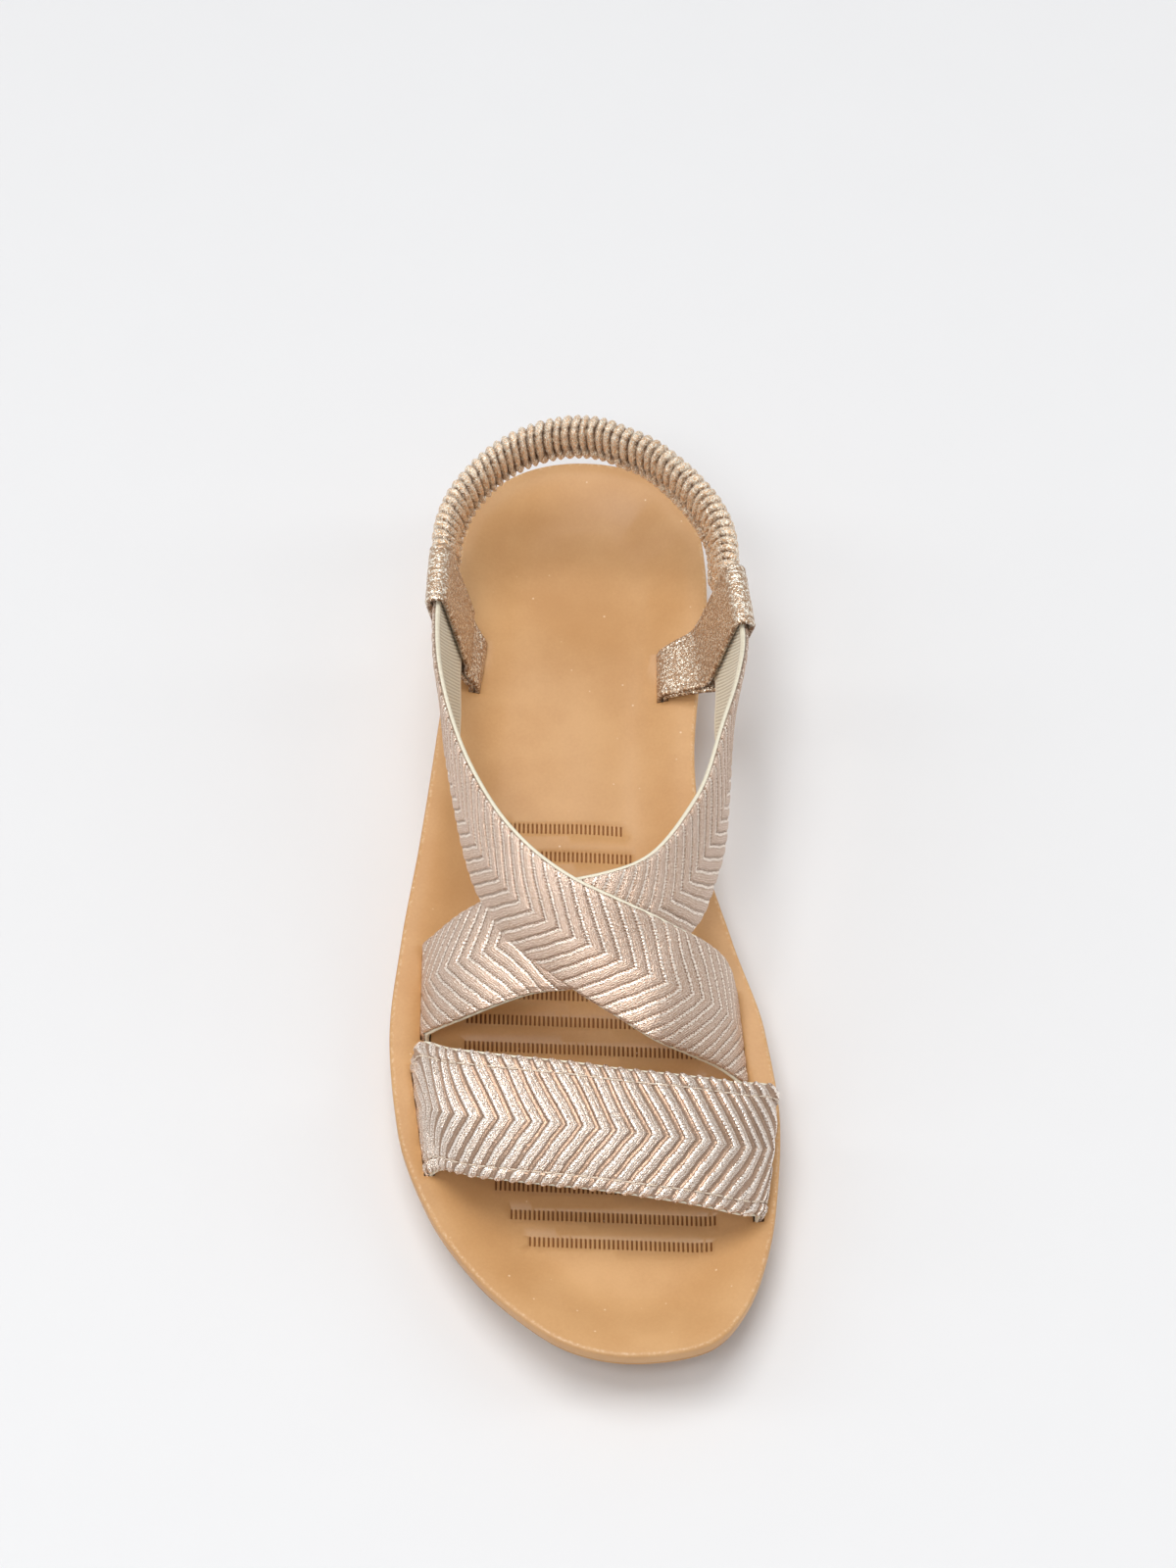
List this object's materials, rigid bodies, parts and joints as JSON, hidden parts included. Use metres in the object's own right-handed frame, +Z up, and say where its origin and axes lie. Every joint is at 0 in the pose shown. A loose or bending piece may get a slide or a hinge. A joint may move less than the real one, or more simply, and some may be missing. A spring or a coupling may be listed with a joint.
{
  "type": "cross strap sandal",
  "caption": "Flat open-toe sandal for the right foot: cupped footbed on a moulded sole, crossed instep straps, a toe band and a gathered elastic heel strap.",
  "frame": {"origin": "on the ground, at the middle of the sandal's length and width", "axes": "+X towards the big-toe side, -Y towards the toe, +Z up"},
  "size_m": [0.0922, 0.242, 0.0655],
  "materials": {
    "outsole": "matt moulded sole compound, caramel tan",
    "footbed": "smooth satin synthetic leather, caramel tan, a faint speckle",
    "cross_straps": "metallic champagne synthetic leather with a chevron relief, cream ribbed lining",
    "toe_band": "metallic champagne synthetic leather with a chevron relief, cream ribbed lining",
    "heel_strap": "metallic cloth tube gathered over elastic",
    "lateral_tab": "metallic cloth ribbon, folded and sewn",
    "medial_tab": "metallic cloth ribbon, folded and sewn",
    "strap_lining": "cream knitted lining with fine ribs, inside the cross straps and the toe band"
  },
  "bodies": {
    "root": {"outsole": "outsole", "footbed": "footbed", "cross_straps": "cross_straps", "toe_band": "toe_band", "heel_strap": "heel_strap", "lateral_tab": "lateral_tab", "medial_tab": "medial_tab"}
  },
  "joints": []
}
